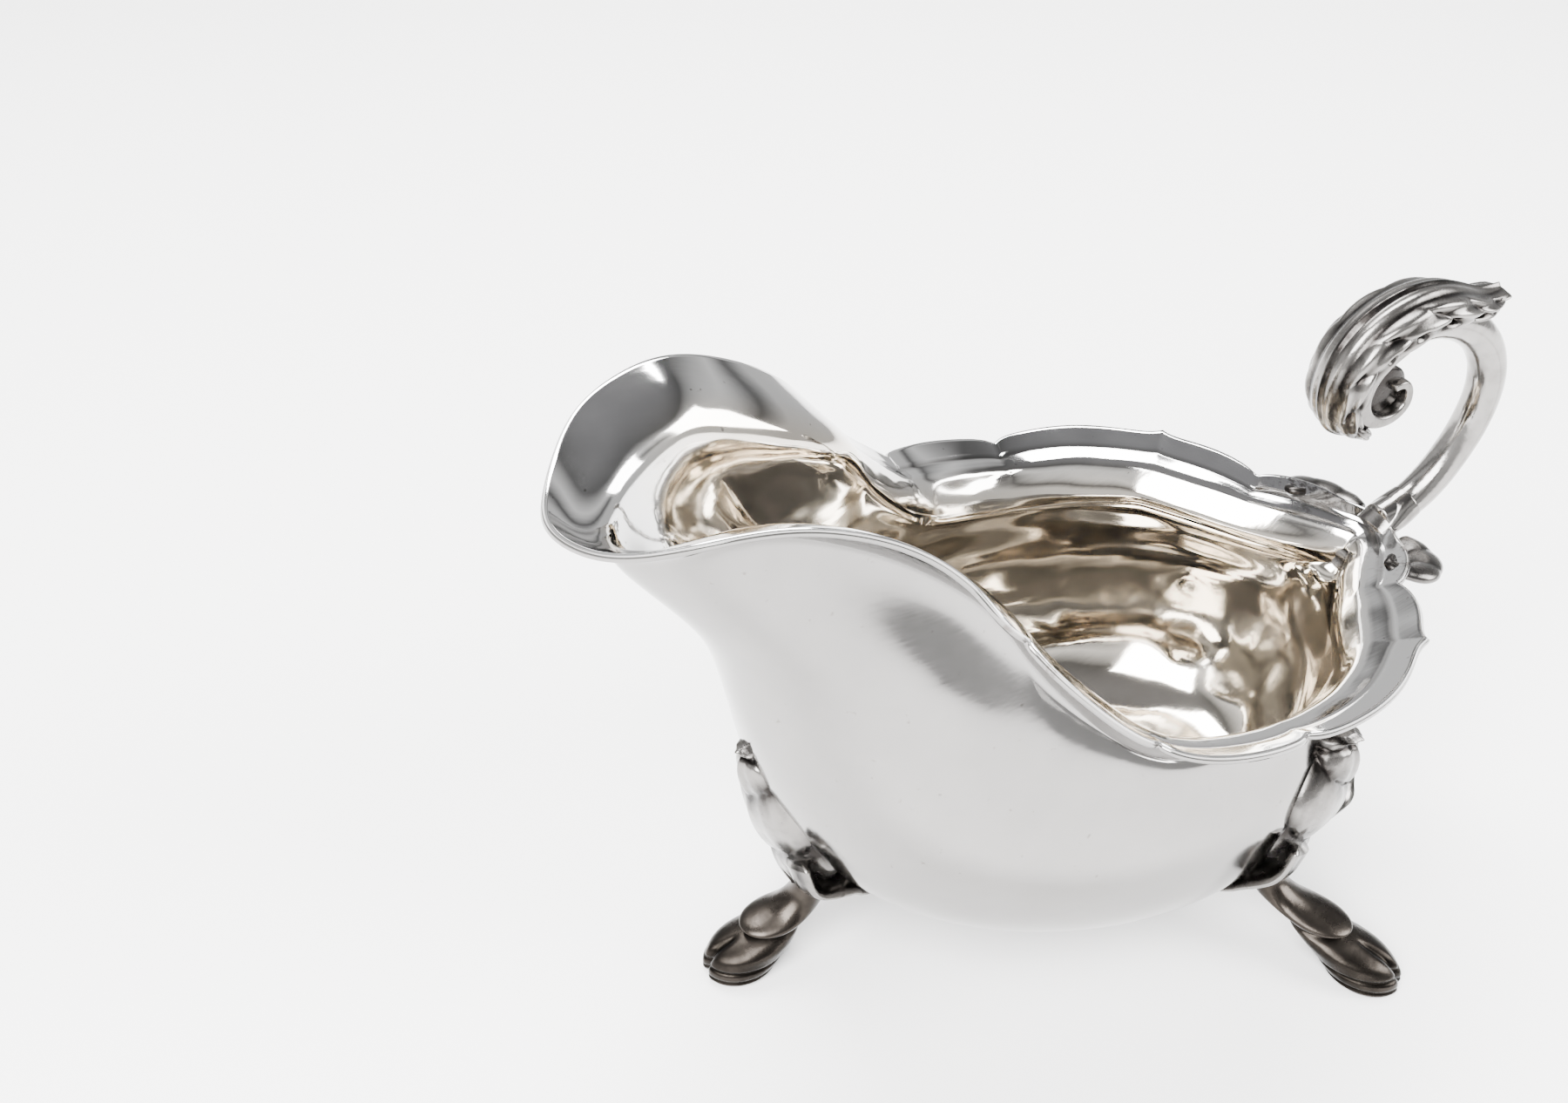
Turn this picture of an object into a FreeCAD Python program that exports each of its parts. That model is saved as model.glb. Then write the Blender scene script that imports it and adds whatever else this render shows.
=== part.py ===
import FreeCAD, Part
import math
import os

# A silver sauce boat on three hoof feet with a flying scroll handle.
# Millimetres.  The spout points along -X, the handle along +X, +Z is up,
# and the boat is symmetric about the plane Y = 0.  The feet stand on Z = 0.

V = FreeCAD.Vector

# ---- driving dimensions -------------------------------------------------
WALL = 1.2               # raised sheet of the bowl
STATIONS = 24            # spacings along each half of a ring

BAR_DIA = 6.4            # handle bar
LEG_TOP = 17.0           # height where a leg meets its knee leaf
LEAF_GAP = 0.15          # between the bar and the leaf over it
HOOF_LENGTH = 13.0
HOOF_WIDTH = 11.2

FRONT_HOOF = (-60.6, 0.0)     # sole centres in plan
REAR_HOOF = (41.5, 47.5)

# Cut edge of the rim from the spout's lip to the handle: x, half width, height.
RIM = [
    (-88.0, 0.0, 104.0),      # tip of the lip
    (-84.5, 10.5, 105.0),
    (-78.0, 18.5, 108.5),
    (-70.0, 22.5, 111.0),
    (-60.0, 25.0, 111.0),     # top of the spout
    (-48.0, 26.5, 106.0),
    (-39.0, 29.0, 98.5),
    (-32.5, 33.5, 90.0),      # first notch
    (-24.0, 38.5, 80.5),
    (-13.7, 43.2, 72.0),      # second notch
    (-2.0, 46.0, 68.6),
    (12.7, 46.5, 66.8),       # third notch
    (26.0, 44.2, 66.5),
    (36.0, 39.8, 66.3),
    (44.0, 34.0, 66.0),       # rear corner
    (54.0, 23.0, 64.3),
    (62.0, 13.5, 62.8),
    (67.5, 6.5, 61.8),
    (70.0, 0.0, 61.5),        # under the handle
]

# Rings of the bowl below the neck.  Each is an egg in plan:
# front x, front z, back x, back z, half width, side z, share of the neck in it.
EGGS = [
    (-18.0, 12.7, 33.0, 12.7, 17.0, 12.7, 0.0),
    (-34.0, 16.5, 45.0, 16.0, 28.0, 15.5, 0.0),
    (-47.5, 27.0, 53.5, 25.0, 37.0, 24.0, 0.0),
    (-55.5, 41.0, 57.5, 36.0, 40.5, 35.0, 0.0),
    (-59.0, 53.0, 58.5, 46.0, 40.8, 45.0, 0.0),
    (-58.5, 61.0, 58.0, 51.0, 39.2, 51.0, 0.20),
    (-58.0, 68.0, 58.0, 55.0, 37.8, 55.0, 0.48),
]

# The flare above the bowl: distance in from the cut edge, and below it.
FLARE = [(10.0, 8.5), (8.4, 5.2), (4.6, 2.4)]

# Centre line of the handle in the plane Y = 0: x, z.
BAR_PATH = [(68.5, 62.2), (75.5, 65.2), (80.8, 71.2), (84.3, 79.2), (84.8, 87.7),
            (81.4, 95.2), (75.0, 100.5), (67.0, 102.9), (59.0, 102.0)]
CURL_PATH = [(59.0, 102.0), (53.2, 98.3), (51.6, 92.9), (54.8, 88.5),
             (60.2, 87.3), (64.2, 89.9), (63.4, 93.7), (60.2, 93.9)]
LEAF_PATH = [(80.8, 105.6), (74.0, 105.1), (66.0, 106.3), (57.5, 104.9), (51.4, 100.6),
             (49.2, 94.4), (50.6, 88.8), (54.6, 85.8)]

# Knee leaves, from the leg up: distance out from the hoof's centre, height,
# half thickness and half width.
FRONT_KNEE = [(-15.0, LEG_TOP, 4.2, 3.8), (-14.0, 23.5, 6.0, 7.0), (-12.0, 31.5, 7.3, 10.5),
              (-9.0, 40.5, 7.0, 10.5), (-6.5, 48.0, 5.6, 7.0), (-5.0, 51.5, 4.0, 4.0),
              (-4.5, 53.5, 2.6, 2.4)]
REAR_KNEE = [(-22.5, LEG_TOP, 4.2, 3.8), (-22.0, 23.5, 5.8, 7.0), (-20.8, 31.5, 6.8, 10.5),
             (-19.0, 40.0, 6.8, 10.5), (-18.0, 47.0, 5.6, 7.0), (-17.2, 50.5, 4.0, 4.0),
             (-16.8, 52.5, 2.6, 2.4)]

# A leg from its top down: share of its reach, height, half length, half width.
# The last row is under the ground, where the sole is cut off flat.
LEG = [(1.0, LEG_TOP, 4.2, 3.8), (0.89, 14.2, 3.7, 3.4), (0.71, 11.6, 5.0, 3.8),
       (0.47, 9.6, 5.9, 4.3), (0.42, 8.0, 5.6, 4.4), (0.20, 5.4, 7.6, 5.3),
       (0.05, 2.4, 7.4, 5.8), (0.0, 0.0, HOOF_LENGTH / 2, HOOF_WIDTH / 2),
       (0.0, -2.5, HOOF_LENGTH / 2 - 1.2, HOOF_WIDTH / 2 - 1.0)]


# ---- curves and rings ---------------------------------------------------
def rim_curve():
    """The cut edge as one curve through RIM, so its ends round off."""
    curve = Part.BSplineCurve()
    half = [V(x, -w, z) for x, w, z in RIM]
    mirror = [V(x, w, z) for x, w, z in reversed(RIM[1:-1])]
    curve.interpolate(half + mirror, PeriodicFlag=True)
    return curve


def rim_ring():
    """Cut-edge points: the near half from the lip to the handle, then back."""
    curve = rim_curve()
    half = []
    last = len(RIM) - 1
    for i in range(STATIONS + 1):
        k = last * i / STATIONS
        a = int(min(math.floor(k), last - 1))
        u0 = curve.parameter(V(RIM[a][0], -RIM[a][1], RIM[a][2]))
        u1 = curve.parameter(V(RIM[a + 1][0], -RIM[a + 1][1], RIM[a + 1][2]))
        half.append(curve.value(u0 + (u1 - u0) * (k - a)))
    half[0].y = 0.0
    half[-1].y = 0.0
    return close_ring(half)


def close_ring(half):
    return half + [V(p.x, -p.y, p.z) for p in reversed(half[1:-1])]


def inward(ring, distance, drop):
    """The ring moved inwards in plan and down."""
    count = len(ring)
    out = []
    for i, p in enumerate(ring):
        ahead = ring[(i + 1) % count]
        behind = ring[i - 1]
        t = V(ahead.x - behind.x, ahead.y - behind.y, 0)
        n = V(-t.y, t.x, 0).normalize()
        step = min(distance, 0.62 * max(abs(p.y), distance * 0.9) + 1.0)
        out.append(V(p.x + n.x * step, p.y + n.y * step, p.z - drop))
    return out


def egg_ring(egg, skin):
    """One ring of the bowl; skin moves it inwards by the wall."""
    x0, z0, x1, z1, half_width, z_side, share = egg
    x0 += skin
    x1 -= skin
    half_width -= skin
    middle = 0.47 * x0 + 0.53 * x1
    half = []
    for i in range(STATIONS + 1):
        angle = math.pi * i / STATIONS
        c = math.cos(angle)
        s = math.sin(angle)
        reach = (middle - x0) if c > 0 else (x1 - middle)
        x = middle - reach * math.copysign(abs(c) ** 0.97, c)
        end_z = z0 if c > 0 else z1
        z = z_side + (end_z - z_side) * c * c
        half.append(V(x, -half_width * s ** 0.97, z))
    half[0].y = 0.0
    half[-1].y = 0.0
    return close_ring(half)


def blend(a, b, share):
    return [p * (1 - share) + q * share for p, q in zip(a, b)]


def wire(ring):
    curve = Part.BSplineCurve()
    curve.interpolate(ring, PeriodicFlag=True)
    return Part.Wire([curve.toShape()])


def bowl_rings(skin):
    """Rings of one side of the sheet, from the bottom up to under the edge."""
    edge = rim_ring()
    neck = inward(edge, FLARE[0][0] + skin, FLARE[0][1])
    rings = []
    for egg in EGGS:
        ring = egg_ring(egg, skin)
        if egg[-1] > 0:
            ring = blend(ring, neck, egg[-1])
        rings.append([V(p.x, p.y, p.z + skin * (1.0 if egg is EGGS[0] else 0.35)) for p in ring])
    for k, (distance, drop) in enumerate(FLARE):
        share = k / len(FLARE)
        rings.append(inward(edge, distance + skin * (1 - share), drop - skin * share))
    return rings


def solid_from(faces):
    shell = Part.makeShell(faces)
    shell.sewShape()
    solid = Part.Solid(shell)
    if solid.Volume < 0:
        solid.reverse()
    return solid


def make_body():
    """The raised bowl with its spout and flared rim, and its outside as a solid."""
    edge = rim_ring()
    top_edge = [V(p.x, p.y, p.z + WALL) for p in edge]
    outside = [wire(r) for r in bowl_rings(0.0)] + [wire(edge)]
    inside = [wire(r) for r in bowl_rings(WALL)] + [wire(top_edge)]
    outer = Part.makeLoft(outside, False, False)
    inner = Part.makeLoft(inside, False, False)
    rim = Part.makeLoft([outside[-1], inside[-1]], False, True)
    bottom = Part.Face(outside[0])
    floor = Part.Face(inside[0])
    body = solid_from(outer.Faces + rim.Faces + inner.Faces + [bottom, floor])
    return body


# ---- swept pieces -------------------------------------------------------
def spline(points):
    curve = Part.BSplineCurve()
    curve.interpolate(points)
    return curve


def ellipse_wire(centre, normal, side, half_side, half_up):
    """Ellipse with one half axis along side and the other across it."""
    up = normal.cross(side)
    up.normalize()
    ring = []
    for k in range(16):
        a = 2 * math.pi * k / 16
        ring.append(centre + side * (half_side * math.cos(a)) + up * (half_up * math.sin(a)))
    return wire(ring)


def tube(points, sizes, side):
    """Loft of ellipses along a curve; sizes are (half across, half up)."""
    curve = spline(points)
    first, last = curve.FirstParameter, curve.LastParameter
    count = len(sizes)
    wires = []
    for i, (across, up) in enumerate(sizes):
        u = first + (last - first) * i / (count - 1)
        tangent = curve.tangent(u)[0]
        wires.append(ellipse_wire(curve.value(u), tangent, side, across, up))
    return Part.makeLoft(wires, True, False)


def in_plane(path):
    return [V(x, 0, z) for x, z in path]


def make_bar():
    radius = BAR_DIA / 2
    sizes = [(radius, radius)] * 13
    return tube(in_plane(BAR_PATH), sizes, V(0, 1, 0))


def make_curl():
    """The bar's end, tapering as it curls into the volute."""
    radius = BAR_DIA / 2
    count = 15
    sizes = []
    for i in range(count):
        size = radius - (radius - 1.7) * i / (count - 1)
        sizes.append((size, size))
    return tube(in_plane(CURL_PATH), sizes, V(0, 1, 0))


def make_leaf():
    """The acanthus leaf that caps the top of the handle."""
    sizes = [(3.0, 1.4), (5.2, 2.4), (6.4, 3.3), (6.8, 3.8), (6.8, 4.0), (6.6, 3.8), (6.2, 3.2), (5.8, 2.5),
             (5.2, 2.0)]
    leaf = tube(in_plane(LEAF_PATH), sizes, V(0, 1, 0))
    hollow = BAR_DIA / 2 + LEAF_GAP
    core = tube(in_plane(BAR_PATH + CURL_PATH[1:6]), [(hollow, hollow)] * 21, V(0, 1, 0))
    return largest(leaf.cut(core))


def make_socket():
    """The collar that carries the bar on the flange."""
    points = [V(67.0, 0, 60.6), V(70.8, 0, 62.4), V(74.6, 0, 64.6)]
    return tube(points, [(4.1, 2.0), (4.5, 3.0), (4.2, 3.8), (3.7, 3.7)], V(0, 1, 0))


def make_ear(side):
    """A curled shell beside the handle's root, lying on the flange."""
    points = [V(69.8, 5.6, 60.4), V(68.4, 11.4, 60.4), V(64.0, 15.4, 61.4), V(59.4, 13.4, 62.9),
              V(61.0, 11.4, 63.2)]
    sizes = [(1.3, 1.8), (1.8, 3.2), (1.6, 2.8), (1.2, 1.6), (1.0, 1.0)]
    ear = tube(points, sizes, V(0, 0, 1))
    if side < 0:
        ear = ear.mirror(V(0, 0, 0), V(0, 1, 0))
    return ear


def make_drop():
    """The scroll under the handle's root, on the outside of the bowl."""
    points = [V(63.5, 0, 57.0), V(62.2, 0, 51.5), V(61.6, 0, 45.0), V(60.0, 0, 37.0)]
    return tube(points, [(6.0, 3.2), (5.2, 3.4), (4.0, 3.2), (2.6, 2.6), (1.2, 1.6)], V(0, 1, 0))


# ---- feet ---------------------------------------------------------------
class Foot:
    """Local frame of a foot: out from the bowl, across, and up."""

    def __init__(self, hoof, direction, knee, wing_out=(0.0, 0.0)):
        self.knee = knee
        self.wing_out = wing_out
        self.hoof = V(hoof[0], hoof[1], 0)
        self.out = V(direction[0], direction[1], 0).normalize()
        self.across = V(0, 0, 1).cross(self.out)

    def at(self, out, up, across=0.0):
        return self.hoof + self.out * out + self.across * across + V(0, 0, up)

    def flat_ring(self, out, up, half_out, half_across, across=0.0):
        """Horizontal ellipse."""
        return ellipse_wire(self.at(out, up, across), V(0, 0, 1), self.out, half_out, half_across)


def make_leg(foot):
    """Cabriole leg from the knee leaf down to its cloven hoof."""
    reach = -foot.knee[0][0]
    wires = [foot.flat_ring(-share * reach, *row) for share, *row in LEG]
    return Part.makeLoft(wires, True, False)


def make_knee(foot, body_outside):
    """Fluted leaf on the knee, bedded on the bowl."""
    wires = [foot.flat_ring(*row) for row in foot.knee]
    return Part.makeLoft(wires, True, False).cut(body_outside)


def make_wing(foot, side):
    """Side scroll of a knee leaf, ending in a free point below the bowl."""
    root = foot.knee[2][0] + foot.wing_out[0 if side > 0 else 1]
    points = [foot.at(root + 4.5, 32.0, side * 8.0), foot.at(root + 2.5, 25.5, side * 10.5),
              foot.at(root - 2.0, 21.0, side * 11.5), foot.at(root - 8.0, 18.4, side * 10.5)]
    sizes = [(3.4, 2.6), (3.2, 2.4), (2.6, 2.0), (1.8, 1.4), (0.9, 0.8)]
    return tube(points, sizes, foot.across)


def foot_pieces(foot, plug):
    """The four castings of one foot, each stopping at the bowl's outside."""
    leg = make_leg(foot).cut(plug)
    knee = largest(make_knee(foot, plug))
    ground = Part.makeBox(300, 300, 20, V(-150, -150, -20))
    pieces = {"leg": largest(leg.cut(ground)), "knee_leaf": knee}
    for hand, side in (("a", 1), ("b", -1)):
        wing = make_wing(foot, side).cut(plug).cut(knee).cut(leg)
        pieces["knee_wing_" + hand] = largest(wing)
    return pieces


def largest(shape):
    return max(shape.Solids, key=lambda s: s.Volume)


def main():
    os.makedirs("parts", exist_ok=True)
    body = make_body()
    shapes = {"body": body}
    outside = Part.makeLoft([wire(r) for r in bowl_rings(0.0)] + [wire(rim_ring())], False, False)
    lid = Part.makeFilledFace([e for e in wire(rim_ring()).Edges])
    plug = solid_from(outside.Faces + [Part.Face(wire(bowl_rings(0.0)[0])), lid])

    bar = make_bar()
    socket = make_socket().cut(body)
    shapes["handle_socket"] = largest(socket)
    shapes["handle_bar"] = largest(bar.cut(make_socket()).cut(body))
    shapes["handle_volute"] = largest(make_curl().cut(bar))
    shapes["handle_leaf"] = make_leaf()
    shapes["root_drop"] = largest(make_drop().cut(plug))
    for name, side in (("left", 1), ("right", -1)):
        ear = make_ear(side).cut(body).cut(make_socket()).cut(bar)
        shapes["root_ear_" + name] = largest(ear)

    outward = (REAR_HOOF[0] - 8.0, REAR_HOOF[1])
    front = Foot(FRONT_HOOF, (-1.0, 0.0), FRONT_KNEE)
    rear = Foot(REAR_HOOF, outward, REAR_KNEE, wing_out=(0.0, 3.5))
    for name, shape in foot_pieces(front, plug).items():
        shapes[name + "_front"] = shape
    for name, shape in foot_pieces(rear, plug).items():
        shapes[name + "_rear_left"] = shape
        shapes[name + "_rear_right"] = shape.mirror(V(0, 0, 0), V(0, 1, 0))

    for name, shape in shapes.items():
        shape.exportStep("parts/" + name + ".step")


main()
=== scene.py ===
import math

import bpy
import numpy as np
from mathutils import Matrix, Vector
from mathutils.bvhtree import BVHTree


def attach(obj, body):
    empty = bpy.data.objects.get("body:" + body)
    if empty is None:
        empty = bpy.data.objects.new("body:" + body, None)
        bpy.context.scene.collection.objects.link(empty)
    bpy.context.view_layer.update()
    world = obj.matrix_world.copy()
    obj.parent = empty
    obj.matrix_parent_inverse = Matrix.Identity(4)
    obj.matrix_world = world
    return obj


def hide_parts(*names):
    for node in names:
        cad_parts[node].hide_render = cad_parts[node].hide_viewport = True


# Looks of the silver sauce boat.  Every piece is built here in millimetres
# in the frame's axes, and turned into metres when its mesh is made.

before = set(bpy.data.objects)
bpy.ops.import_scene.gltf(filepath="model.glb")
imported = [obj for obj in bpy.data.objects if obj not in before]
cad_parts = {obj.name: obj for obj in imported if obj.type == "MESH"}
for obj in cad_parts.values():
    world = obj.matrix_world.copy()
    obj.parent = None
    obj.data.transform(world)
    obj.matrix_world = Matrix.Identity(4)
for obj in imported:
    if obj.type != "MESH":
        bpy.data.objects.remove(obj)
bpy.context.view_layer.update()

MM = 0.001
UP = np.array((0, 0, 1.0))

# ---- sizes of the bowl --------------------------------------------------
WALL = 1.2                # sheet of the bowl
AROUND = 900              # points round a ring of the bowl
PER_RING = 9              # rows between two of the bowl's guide rings
BELLY_ROW = 30            # a row low on the belly, which shows which way the normals point
LEAST_GAP = 0.05          # added to the spacing of the guide rings
ROUNDING_WINDOW = 50      # points each side that a rounded ring is averaged over
RIM_WRAP = 8              # rim points repeated at each end of the closed curve
BOWL_CORE = Vector((2.0, 0.0, 50.0))
BED_DEPTH = 0.5           # how deep an applied piece may sink into the sheet
CLING_HEIGHT = 0.4        # middle line of a side scroll above the sheet

# Cut edge of the rim from the lip to the handle: x, half width, height.
RIM = np.array([
    (-88.0, 0.0, 104.0), (-84.5, 10.5, 105.0), (-78.0, 18.5, 108.5), (-70.0, 22.5, 111.0),
    (-60.0, 25.0, 111.0), (-48.0, 26.5, 106.0), (-39.0, 29.0, 98.5), (-32.5, 33.5, 90.0),
    (-24.0, 38.5, 80.5), (-13.7, 43.2, 72.0), (-2.0, 46.0, 68.6), (12.7, 46.5, 66.8),
    (26.0, 44.2, 66.5), (36.0, 39.8, 66.3), (44.0, 34.0, 66.0), (54.0, 23.0, 64.3),
    (62.0, 13.5, 62.8), (67.5, 6.5, 61.8), (70.0, 0.0, 61.5)])
RING_TURN = 2 * (len(RIM) - 1)                         # rim points once round
PLACES = np.arange(AROUND) * RING_TURN / AROUND        # counted in rim points from the lip

# Rings of the bowl: front x and z, back x and z, half width, side z, share of the neck.
EGGS = [
    (-18.0, 12.7, 33.0, 12.7, 17.0, 12.7, 0.0), (-34.0, 16.5, 45.0, 16.0, 28.0, 15.5, 0.0),
    (-47.5, 27.0, 53.5, 25.0, 37.0, 24.0, 0.0), (-55.5, 41.0, 57.5, 36.0, 40.5, 35.0, 0.0),
    (-59.0, 53.0, 58.5, 44.0, 40.8, 45.0, 0.0), (-58.5, 61.0, 58.0, 47.6, 39.2, 51.0, 0.20),
    (-58.0, 68.0, 58.0, 50.4, 37.8, 55.0, 0.48)]
BOTTOM_RINGS = [(0.55, 0.5), (0.02, 0.2)]              # share of the ring outside it, drop
FLARE = [(10.0, 8.5), (8.4, 5.2), (4.6, 2.4)]          # neck to rim: distance in, drop

# Notches of the shaped edge: place along RIM, depth and width; a negative depth points out.
NOTCHES = [(7.0, 1.5, 0.16), (9.0, 1.7, 0.14), (11.0, 1.6, 0.14), (14.0, -1.7, 0.22),
           (15.3, 1.6, 0.16)]
SHAPED_FROM, SHAPED_TO = 6.0, 17.0                     # stretch of RIM with lobes between its nicks
LOBE_SWELL = 0.9
EDGE_DIP = 0.35           # drop of the edge per millimetre that a nick goes in
BAND_STARTS = (6.6, 8.6)  # stretch of RIM over which the flange's roll and groove begin

# Bands along the inside of the flange: height, rings below the edge, width in rings.
ROLL = (0.55, 1.45, 0.34)
GROOVE = (0.32, 0.82, 0.07)

# ---- sizes of the feet --------------------------------------------------
FRONT_HOOF = (-60.6, 0.0)
REAR_HOOF = (41.5, 47.5)
REAR_LEGS_MEET = 8.0      # x where the lines of the two rear legs cross

# Rows of a leg: share of the way from the hoof to the knee, height, half out, half across.
LEG_TOP = 17.0
LEG = [(1.0, LEG_TOP, 4.2, 3.8), (0.89, 14.2, 3.7, 3.4), (0.71, 11.6, 5.0, 3.8),
       (0.47, 9.6, 5.9, 4.3), (0.42, 8.0, 5.6, 4.4), (0.20, 5.4, 7.6, 5.3),
       (0.05, 2.4, 7.4, 5.8), (0.0, 0.0, 6.5, 5.6)]

# Rows of a knee leaf: distance out from the hoof, height, half out, half across.
FRONT_KNEE = [(-15.0, LEG_TOP, 4.2, 3.8), (-14.0, 23.5, 6.0, 7.0), (-12.0, 31.5, 7.3, 10.5),
              (-9.0, 40.5, 7.0, 10.5), (-6.5, 48.0, 5.6, 7.0), (-5.0, 51.5, 4.0, 4.0),
              (-4.5, 53.5, 2.6, 2.4)]
REAR_KNEE = [(-22.5, LEG_TOP, 4.2, 3.8), (-22.0, 23.5, 5.8, 7.0), (-20.8, 31.5, 6.8, 10.5),
             (-19.0, 40.0, 6.8, 10.5), (-18.0, 47.0, 5.6, 7.0), (-17.2, 50.5, 4.0, 4.0),
             (-16.8, 52.5, 2.6, 2.4)]

# Relief of a leg: depth, height above the ground and width.
FETLOCK = (1.0, 10.2, 1.1)
UNDERCUT = (1.1, 8.4, 0.55)
HOOF_BULGE = (0.8, 6.0, 1.3)
HOOF_BANDS = [(0.45, 3.4, 0.28), (0.35, 1.5, 0.25)]
CLEFT = (1.6, 0.13)       # depth, width in radians
HEEL = (0.9, 0.25)
SOLE_BEVEL = 0.5
LEG_INSET = 0.08

# Side scroll of a knee leaf: out from its root, across and up, and its half sizes.
WING_PATH = [(4.5, 8.0, 32.0), (2.5, 10.5, 25.5), (-2.0, 11.5, 21.0), (-8.0, 10.5, 18.4)]
WING_SIZES = [(4.2, 1.7), (4.0, 1.6), (3.2, 1.3), (2.0, 0.9), (0.3, 0.3)]
REAR_WING_SHIFT = 3.5     # a rear knee's scroll on the handle's side stands this far out

# ---- sizes of the handle: paths as x and z, sizes as half across and half up --------
BAR_PATH = [(68.5, 62.2), (75.5, 65.2), (80.8, 71.2), (84.3, 79.2), (84.8, 87.7),
            (81.4, 95.2), (75.0, 100.5), (67.0, 102.9), (59.0, 102.0)]
BAR_RADIUS = 3.2
BAR_SIZES = [(BAR_RADIUS * share,) * 2 for share in [0.92] + 6 * [1.0] + [0.95]]
CURL_PATH = [(59.0, 102.0), (53.2, 98.3), (51.6, 92.9), (54.2, 88.8),
             (58.9, 87.9), (62.0, 90.3), (61.3, 93.6), (58.8, 93.7)]
CURL_SIZES = [(3.4, 3.2), (4.4, 2.6), (4.7, 2.0), (4.7, 1.5), (4.5, 1.2), (4.3, 1.0), (4.1, 0.9),
              (4.0, 0.8)]
LEAF_PATH = [(80.4, 105.6), (74.0, 105.1), (66.0, 106.3), (57.5, 104.9), (51.4, 100.6),
             (49.2, 94.4), (50.6, 88.8), (54.6, 85.8)]
LEAF_SIZES = [(2.9, 1.3), (4.8, 2.3), (5.9, 3.5), (6.3, 4.4), (6.3, 4.5), (6.1, 4.0), (5.8, 3.2),
              (5.4, 2.4), (4.8, 1.6)]
LEAF_EYES = (0.10, 0.19, 0.30, 0.41, 0.53)             # places along the leaf
EYE_LONG, EYE_WIDE, EYE_DEPTH = 0.016, 0.13, 1.5       # share of the leaf, radians, millimetres

# Disc that closes the middle of the volute, painted dark as shade: its centre, and its rim as y and
# radius.
WEB_CENTRE = np.array((57.4, 0.0, 92.9))
WEB_PROFILE = [(-2.6, 0.5), (-2.6, 3.9), (-2.3, 4.6), (2.3, 4.6), (2.6, 3.9), (2.6, 0.5)]

COLLAR_PATH = [(67.0, 60.6), (70.8, 62.4), (74.6, 64.6)]
COLLAR_SIZES = [(3.6, 1.4), (3.9, 2.4), (3.7, 3.3), (3.3, 3.3)]
EAR_PATH = [(69.8, 5.6, 60.4), (68.4, 11.4, 60.4), (64.0, 15.4, 61.4), (59.4, 13.4, 62.9),
            (61.0, 11.4, 63.2)]
EAR_SIZES = [(1.1, 1.6), (1.5, 3.0), (1.3, 2.6), (0.9, 1.3), (0.7, 0.7)]
DROP_PATH = [(63.5, 57.0), (62.2, 51.5), (61.6, 45.0), (60.0, 37.0)]
DROP_SIZES = [(6.0, 3.0), (5.0, 3.2), (4.0, 3.0), (2.6, 2.4), (0.6, 0.8)]

# ---- looks --------------------------------------------------------------
# Colours of the raised bowl, outside and inside, and of the marks on it.
# The outside's silver is painted about half as bright as the same clean silver inside: painted shade over
# the outside of the bowl.
CLEAN_OUTSIDE_IN_SHADE, FILMED_OUTSIDE_IN_SHADE = (0.29, 0.282, 0.275), (0.225, 0.219, 0.213)
BRIGHT_INSIDE = (0.62, 0.615, 0.61)
BROWN_TARNISH, STRAW_TARNISH = (0.58, 0.535, 0.475), (0.72, 0.675, 0.60)
# The groove colour is painted shade in the groove round the inside of the flange.
SPECK_COLOUR, SPOT_COLOUR, GROOVE_SHADE_COLOUR = (0.12, 0.10, 0.09), (0.13, 0.11, 0.10), (0.10, 0.09, 0.08)

# Patches of black spots: place and reach in metres, by the first nick and beside the handle.
SPOT_PATCHES = [((-0.033, -0.034, 0.090), 0.013), ((0.064, 0.013, 0.063), 0.010),
                ((0.064, -0.013, 0.063), 0.009)]

# Cast metals: colour, colour of the painted shade in the recesses, share of the recess shade mark, least
# roughness.
CAST_SILVERS = {
    "handle_silver": ((0.25, 0.24, 0.23), (0.06, 0.052, 0.048), 0.8, 0.10),
    "chased_silver": ((0.21, 0.20, 0.19), (0.018, 0.016, 0.015), 1.05, 0.18),
    "cast_silver_dark": ((0.042, 0.036, 0.031), (0.007, 0.006, 0.005), 0.9, 0.22),
}

FLOOR_HALF = 1.6
PAPER_COLOUR, PAPER_ROUGHNESS = (0.93, 0.925, 0.92, 1), 0.9

# Surround: shades by height of the direction, from the horizon at 0 to straight up at 1.
SKY_HORIZON, SKY_TOP = (0.95, 0.95, 0.95, 1), (0.30, 0.30, 0.31, 1)
SKY_BANDS = [(0.30, 0.95), (0.44, 0.16), (0.60, 1.15), (0.78, 0.14)]
SKY_ACROSS = (-0.9, 0.9, 1.1, 0.6)                     # from the lip's side to the handle's side
SKY_STRENGTH = 1.5

# Soft boxes: name, place, width and height in metres, and watts.
LIGHTS = [("key", (-0.7, -0.5, 0.9), (0.8, 0.8), 70), ("fill", (0.9, -0.6, 0.7), (0.7, 0.7), 36),
          ("top", (0.1, 0.5, 1.1), (1.0, 0.5), 50)]
LIGHT_AIM = (0.0, 0.0, 0.05)

CAMERA_PLACE = (-0.1274, -0.1583, 0.2171)
CAMERA_DOWN, CAMERA_TURN = 36.78, 23.78                # degrees below level, and towards the handle
LENS, SENSOR = 33.8, 36.0
SHIFT_X, SHIFT_Y = 0.0197, 0.0132

# Sockets of a mix node that carry colours.
MIX_A, MIX_B, MIX_RESULT = 6, 7, 2


# ---- curves -------------------------------------------------------------
def bends(points, steps):
    """Second derivatives of the natural cubic through points (n, m, 3); steps is (n - 1, m)."""
    n, m = points.shape[:2]
    a = np.zeros((m, n, n))
    b = np.zeros((m, n, points.shape[2]))
    a[:, 0, 0] = a[:, -1, -1] = 1.0
    for i in range(1, n - 1):
        h0, h1 = steps[i - 1], steps[i]
        a[:, i, i - 1], a[:, i, i], a[:, i, i + 1] = h0, 2 * (h0 + h1), h1
        rise = (points[i + 1] - points[i]) / h1[:, None]
        b[:, i] = 6 * (rise - (points[i] - points[i - 1]) / h0[:, None])
    return np.linalg.solve(a, b).transpose(1, 0, 2)


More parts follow.
